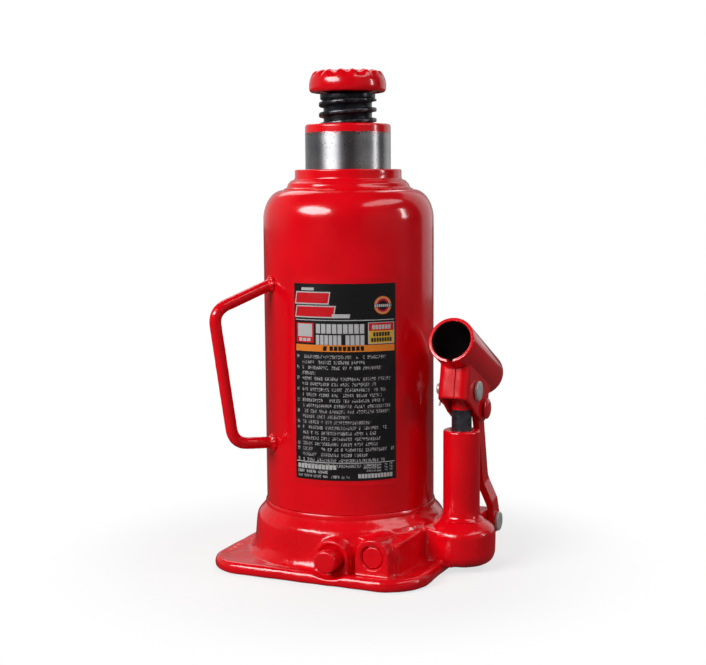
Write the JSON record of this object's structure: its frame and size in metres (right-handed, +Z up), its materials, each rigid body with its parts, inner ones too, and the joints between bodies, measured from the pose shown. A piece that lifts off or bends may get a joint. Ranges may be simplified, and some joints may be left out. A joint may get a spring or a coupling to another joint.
{
  "type": "hydraulic bottle jack",
  "caption": "Hydraulic bottle jack: square cast base, round oil reservoir, lifting ram with extension screw and saddle, and a side hand pump with linked handle socket.",
  "frame": {"origin": "on the floor, on the axis of the ram, at the centre of the square base plate", "axes": "+Z up along the ram, -Y to the front with the release valve, +X to the pump"},
  "size_m": [0.1441, 0.127, 0.2644],
  "materials": {
    "painted_casting": "glossy red enamel over rough cast iron",
    "red_enamel": "glossy red enamel over steel",
    "ground_steel": "turned and ground bare steel",
    "ball_steel": "polished bearing steel",
    "black_oxide_steel": "black oxide, satin",
    "zinc_plated_steel": "zinc plated, matt",
    "seal_rubber": "black nitrile rubber",
    "copper_washer": "annealed copper",
    "printed_label": "printed vinyl label, semi-gloss"
  },
  "bodies": {
    "base": {"base_casting": "painted_casting", "tank_gasket": "seal_rubber", "cylinder_gasket": "copper_washer", "cylinder_tube": "ground_steel", "reservoir_shell": "red_enamel", "top_nut": "red_enamel", "top_nut_seal": "seal_rubber", "ram_wiper": "seal_rubber", "filler_plug": "seal_rubber", "label": "printed_label", "carry_handle": "red_enamel", "pump_cylinder": "red_enamel", "pump_gasket": "copper_washer", "pump_seal": "seal_rubber", "lug_pin": "zinc_plated_steel", "lug_cotter": "zinc_plated_steel", "port_plug": "red_enamel", "safety_screw": "black_oxide_steel", "safety_spring": "ground_steel", "safety_ball": "ball_steel", "delivery_stop": "black_oxide_steel"},
    "ram": {"ram": "ground_steel", "piston_cup": "seal_rubber", "piston_retainer": "black_oxide_steel"},
    "screw_stop": {"screw_stop_ring": "black_oxide_steel"},
    "screw": {"extension_screw": "black_oxide_steel", "saddle": "red_enamel"},
    "plunger": {"pump_plunger": "black_oxide_steel", "plunger_seal": "seal_rubber", "plunger_pin": "zinc_plated_steel", "plunger_cotter": "zinc_plated_steel"},
    "handle_socket": {"handle_socket": "red_enamel", "link_rivet": "red_enamel"},
    "link": {"link_plate_left": "red_enamel", "link_plate_right": "red_enamel"},
    "release_ball": {"release_ball": "ball_steel"},
    "release_valve": {"release_valve_stem": "red_enamel", "release_o_ring": "seal_rubber"},
    "suction_valve": {"suction_ball": "ball_steel"},
    "delivery_valve": {"delivery_ball": "ball_steel"}
  },
  "joints": [
    {"name": "ram_lift", "type": "slide", "parent": "base", "child": "ram", "axis": [0, 0, 1], "range_m": [-0.0199, 0.13]},
    {"name": "screw_rise", "type": "slide", "parent": "ram", "child": "screw_stop", "axis": [0, 0, 1], "range_m": [-0.016, 0.0541]},
    {"name": "screw_turn", "type": "hinge", "parent": "screw_stop", "child": "screw", "pos_m": [0, 0, 0.2], "axis": [0, 0, 1], "range_deg": [-1045, 3530]},
    {"name": "plunger_stroke", "type": "slide", "parent": "base", "child": "plunger", "axis": [0, 0, 1], "range_m": [-0.0099, 0.002]},
    {"name": "socket_tilt", "type": "hinge", "parent": "plunger", "child": "handle_socket", "pos_m": [0.0648, 0, 0.0957], "axis": [-1, 0, 0], "range_deg": [-40, 8]},
    {"name": "link_swing", "type": "hinge", "parent": "base", "child": "link", "pos_m": [0.0648, 0.029, 0.0188], "axis": [1, 0, 0], "range_deg": [-4.4, 0.9]},
    {"name": "release_back_off", "type": "slide", "parent": "base", "child": "release_ball", "axis": [0, -1, 0], "range_m": [0, 0.0023]},
    {"name": "release_turn", "type": "hinge", "parent": "release_ball", "child": "release_valve", "pos_m": [0.0135, -0.05, 0.0135], "axis": [0, -1, 0], "range_deg": [0, 540]},
    {"name": "suction_ball_lift", "type": "slide", "parent": "base", "child": "suction_valve", "axis": [0, 0, 1], "range_m": [0, 0.001]},
    {"name": "delivery_ball_lift", "type": "slide", "parent": "base", "child": "delivery_valve", "axis": [0, 0, 1], "range_m": [0, 0.0006]}
  ],
  "couplings": [
    {"joint": "screw_rise", "follows": "screw_turn", "m_per_rad": 0.00087535},
    {"joint": "plunger_stroke", "follows": "socket_tilt", "m_per_rad": 0.01415},
    {"joint": "link_swing", "follows": "socket_tilt", "ratio": 0.1088},
    {"joint": "release_back_off", "follows": "release_turn", "m_per_rad": 0.00023873}
  ]
}
